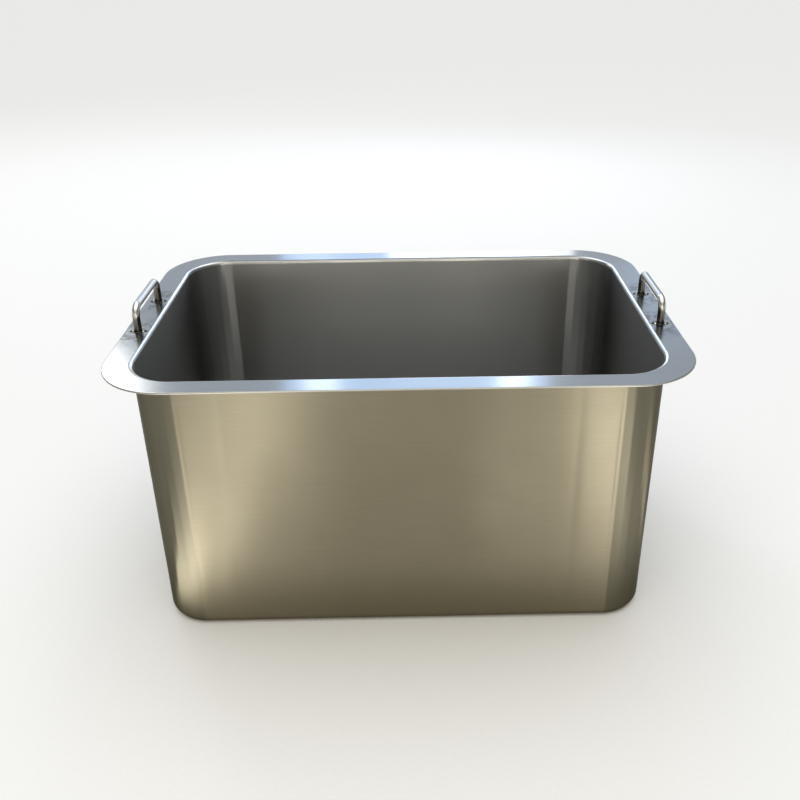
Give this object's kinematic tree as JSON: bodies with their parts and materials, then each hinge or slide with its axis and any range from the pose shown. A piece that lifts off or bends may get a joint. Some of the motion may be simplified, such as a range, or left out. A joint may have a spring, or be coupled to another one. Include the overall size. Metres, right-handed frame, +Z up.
{
  "type": "steel trough",
  "caption": "Open rectangular trough of welded stainless sheet with rounded corners, a wide flat rim and a fixed bar handle on each short end, for holding or washing dough and ware.",
  "frame": {"origin": "middle of the floor's underside, on the surface that the trough stands on", "axes": "+X along the trough's length, towards the right handle; +Y to the rear; +Z up"},
  "size_m": [0.6, 0.4, 0.339],
  "materials": {
    "wall_satin": "satin brushed stainless sheet, grain running level round the tub",
    "rim_satin": "fine brushed stainless plate with a polished rolled lip and edge",
    "handle_polish": "polished stainless round bar",
    "foot_weld": "fillet weld bead with heat tint at its toes"
  },
  "bodies": {
    "root": {"front_wall_half": "wall_satin", "rear_wall_half": "wall_satin", "floor_pan": "wall_satin", "left_seam_weld": "wall_satin", "right_seam_weld": "wall_satin", "floor_seam_weld": "wall_satin", "rim_seam_weld": "wall_satin", "rim_flange": "rim_satin", "left_handle": "handle_polish", "right_handle": "handle_polish", "left_handle_front_weld": "foot_weld", "left_handle_rear_weld": "foot_weld", "right_handle_front_weld": "foot_weld", "right_handle_rear_weld": "foot_weld"}
  },
  "joints": []
}
